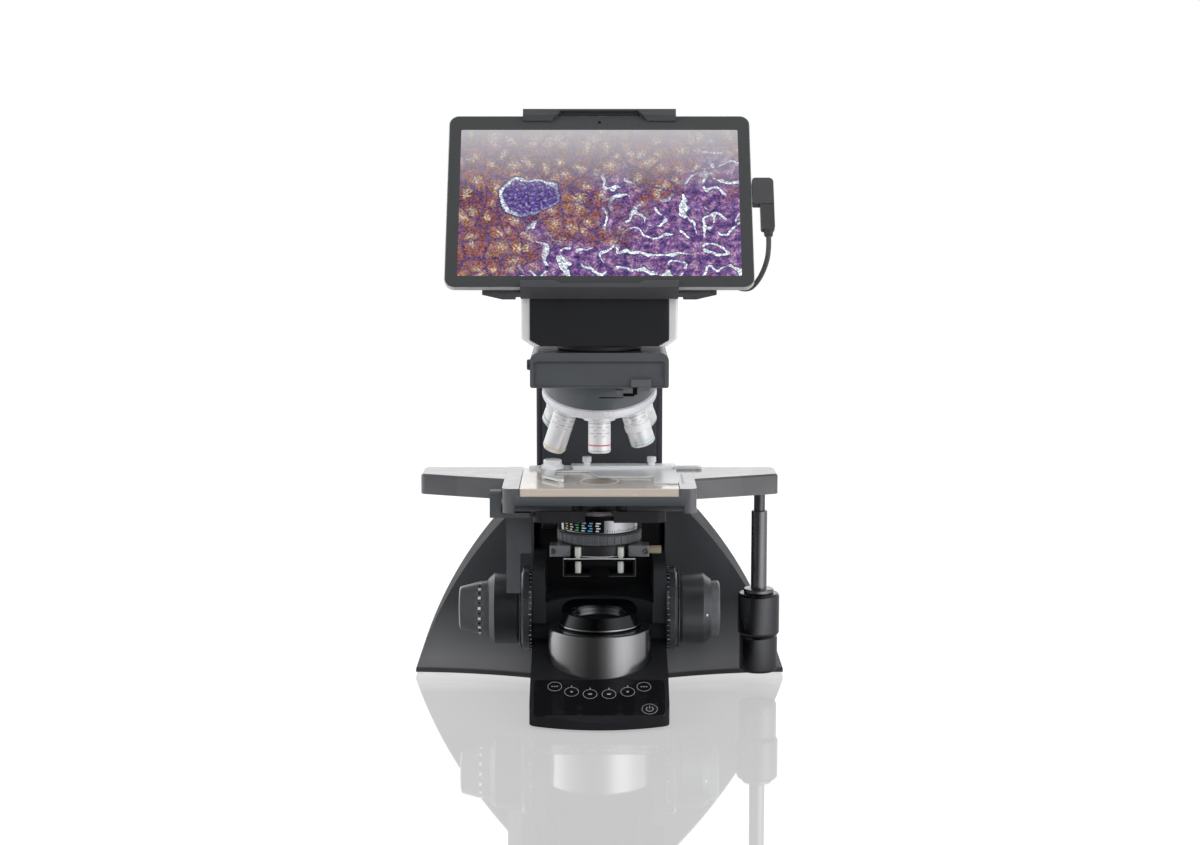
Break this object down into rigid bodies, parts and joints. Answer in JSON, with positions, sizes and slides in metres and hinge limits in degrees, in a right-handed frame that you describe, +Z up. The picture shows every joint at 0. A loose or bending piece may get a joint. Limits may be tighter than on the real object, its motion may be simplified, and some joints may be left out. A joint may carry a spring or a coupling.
{
  "type": "digital microscope",
  "caption": "Upright laboratory microscope with a tilted revolving nosepiece, a moving stage, a camera head and a tablet screen on top.",
  "frame": {"origin": "middle of the footprint, on the table", "axes": "+Z up, +Y from the operator to the back of the stand, +X to the operator's right"},
  "size_m": [0.334, 0.2998, 0.5094],
  "materials": {
    "slate_paint": "cast, with satin fine-textured paint",
    "head_paint": "cast, with satin paint",
    "skirt_plastic": "satin moulded",
    "zinc_sheet": "zinc plated sheet",
    "foot_rubber": "matt",
    "socket_plastic": "matt moulded",
    "gunmetal_satin": "satin anodised",
    "bright_chrome": "polished",
    "optical_glass": "polished, coated",
    "black_glass": "gloss, printed from behind",
    "knob_plastic": "satin soft-touch",
    "brushed_steel": "fine brushed",
    "grey_cast": "bead blasted",
    "ceramic_coat": "fine matt glaze",
    "satin_aluminium": "satin",
    "knurled_black": "black anodised, knurled",
    "black_anodised": "black anodised",
    "knurled_brass": "fine knurl",
    "tablet_metal": "satin anodised",
    "cradle_plastic": "satin moulded",
    "plug_rubber": "satin",
    "cable_rubber": "satin",
    "polished_barrel": "polished, engraved bands"
  },
  "bodies": {
    "stand": {"foot_casting": "slate_paint", "skirt_shell": "skirt_plastic", "column": "slate_paint", "column_front_cover": "slate_paint", "rear_cover": "skirt_plastic", "bottom_plate": "zinc_sheet", "rubber_feet": "foot_rubber", "power_inlet": "socket_plastic", "light_drum": "gunmetal_satin", "drum_trim_ring": "bright_chrome", "field_lens": "optical_glass", "touch_panel": "black_glass", "right_focus_flange": "knob_plastic", "head_block": "head_paint", "nosepiece_mount": "head_paint"},
    "field_ring": {"field_diaphragm_ring": "gunmetal_satin"},
    "torque_ring": {"torque_ring": "knob_plastic"},
    "coarse_drive": {"coarse_shaft": "brushed_steel", "coarse_knob_left": "knob_plastic", "coarse_knob_right": "knob_plastic"},
    "fine_drive": {"fine_knob_left": "knob_plastic", "fine_knob_right": "knob_plastic"},
    "stage_lift": {"focus_carriage": "slate_paint", "stage_carrier": "slate_paint", "stage_side_plate": "grey_cast", "stage_plate": "slate_paint", "drive_rod": "brushed_steel"},
    "specimen_table": {"ceramic_plate": "ceramic_coat", "specimen_rail": "brushed_steel"},
    "slide_carriage": {"slide_holder": "satin_aluminium"},
    "slide_clip": {"clip_lever": "satin_aluminium"},
    "drive_sleeve": {"drive_tube": "knob_plastic"},
    "y_drive_knob": {"y_knob": "knob_plastic"},
    "x_drive_knob": {"x_knob": "knob_plastic"},
    "condenser": {"condenser_body": "satin_aluminium", "condenser_lens": "optical_glass", "condenser_carrier": "slate_paint", "condenser_cage": "black_anodised"},
    "aperture_ring": {"aperture_ring": "knurled_black"},
    "condenser_height_knob": {"condenser_knob": "knob_plastic"},
    "centring_screw": {"centring_screw": "knurled_brass"},
    "nosepiece": {"nosepiece_turret": "satin_aluminium", "objective_1": "polished_barrel", "objective_2": "polished_barrel", "objective_3": "polished_barrel", "objective_4": "polished_barrel", "objective_5": "polished_barrel", "objective_6": "polished_barrel"},
    "camera": {"camera_dovetail": "brushed_steel", "camera_housing": "satin_aluminium", "camera_front_panel": "black_anodised", "cradle_bracket": "grey_cast", "camera_plug": "plug_rubber", "usb_cable": "cable_rubber"},
    "camera_clamp": {"camera_clamp_screw": "knurled_black"},
    "tablet": {"cradle_back": "cradle_plastic", "tablet_shell": "tablet_metal", "tablet_glass": "black_glass", "usb_plug": "plug_rubber"},
    "upper_jaw": {"upper_jaw": "cradle_plastic"}
  },
  "joints": [
    {"name": "focus_travel", "type": "slide", "parent": "stand", "child": "stage_lift", "axis": [0, 0, 1], "range_m": [-0.012, 0.0095]},
    {"name": "coarse_turn", "type": "hinge", "parent": "stand", "child": "coarse_drive", "pos_m": [0, -0.01, 0.0743], "axis": [1, 0, 0], "range_deg": [-240, 190]},
    {"name": "fine_turn", "type": "hinge", "parent": "stand", "child": "fine_drive", "pos_m": [0, -0.01, 0.0743], "axis": [1, 0, 0], "continuous": true},
    {"name": "torque_ring_turn", "type": "hinge", "parent": "stand", "child": "torque_ring", "pos_m": [-0.0642, -0.01, 0.0743], "axis": [1, 0, 0], "range_deg": [-45, 45]},
    {"name": "field_ring_turn", "type": "hinge", "parent": "stand", "child": "field_ring", "pos_m": [0, -0.055, 0.0745], "axis": [0, 0, 1], "range_deg": [0, 75]},
    {"name": "stage_y_travel", "type": "slide", "parent": "stage_lift", "child": "specimen_table", "axis": [0, 1, 0], "range_m": [-0.013, 0.013]},
    {"name": "stage_x_travel", "type": "slide", "parent": "specimen_table", "child": "slide_carriage", "axis": [1, 0, 0], "range_m": [-0.038, 0.038]},
    {"name": "clip_turn", "type": "hinge", "parent": "slide_carriage", "child": "slide_clip", "pos_m": [-0.041, -0.004, 0.1975], "axis": [0, 0, 1], "range_deg": [-25, 0], "stiffness_Nm_per_rad": 0.04, "springref_deg": 14.32},
    {"name": "drive_sleeve_travel", "type": "slide", "parent": "stage_lift", "child": "drive_sleeve", "axis": [0, 0, 1], "range_m": [0, 0.015]},
    {"name": "y_knob_turn", "type": "hinge", "parent": "drive_sleeve", "child": "y_drive_knob", "pos_m": [0.1413, 0.008, 0.066], "axis": [0, 0, 1], "range_deg": [-75, 75]},
    {"name": "x_knob_turn", "type": "hinge", "parent": "drive_sleeve", "child": "x_drive_knob", "pos_m": [0.1413, 0.008, 0.031], "axis": [0, 0, 1], "range_deg": [-218, 218]},
    {"name": "condenser_travel", "type": "slide", "parent": "stage_lift", "child": "condenser", "axis": [0, 0, 1], "range_m": [-0.012, 0]},
    {"name": "condenser_knob_turn", "type": "hinge", "parent": "stage_lift", "child": "condenser_height_knob", "pos_m": [-0.045, 0.0352, 0.144], "axis": [1, 0, 0], "range_deg": [-115, 0]},
    {"name": "aperture_turn", "type": "hinge", "parent": "condenser", "child": "aperture_ring", "pos_m": [0, -0.055, 0.149], "axis": [0, 0, 1], "range_deg": [0, 60]},
    {"name": "centring_turn", "type": "hinge", "parent": "condenser", "child": "centring_screw", "pos_m": [0.047, -0.077, 0.1396], "axis": [1, 0, 0], "range_deg": [-180, 180]},
    {"name": "nosepiece_turn", "type": "hinge", "parent": "stand", "child": "nosepiece", "pos_m": [0, -0.02503, 0.26121], "axis": [0, 0.3502, -0.9367], "continuous": true},
    {"name": "camera_turn", "type": "hinge", "parent": "stand", "child": "camera", "pos_m": [0, -0.055, 0.311], "axis": [0, 0, 1], "range_deg": [-90, 90]},
    {"name": "clamp_turn", "type": "hinge", "parent": "stand", "child": "camera_clamp", "pos_m": [-0.0595, -0.055, 0.2945], "axis": [1, 0, 0], "range_deg": [-180, 0]},
    {"name": "tablet_tilt", "type": "hinge", "parent": "camera", "child": "tablet", "pos_m": [0, -0.08153, 0.37709], "axis": [1, 0, 0], "range_deg": [-20, 15], "deforming": ["usb_cable"]},
    {"name": "upper_jaw_travel", "type": "slide", "parent": "tablet", "child": "upper_jaw", "axis": [0, 0.5446, 0.8387], "range_m": [0, 0.012], "stiffness_N_per_m": 300, "springref_m": -0.012}
  ],
  "couplings": [
    {"joint": "coarse_turn", "follows": "focus_travel", "rad_per_m": 349},
    {"joint": "y_knob_turn", "follows": "stage_y_travel", "rad_per_m": 100},
    {"joint": "x_knob_turn", "follows": "stage_x_travel", "rad_per_m": 100},
    {"joint": "condenser_knob_turn", "follows": "condenser_travel", "rad_per_m": 166}
  ]
}
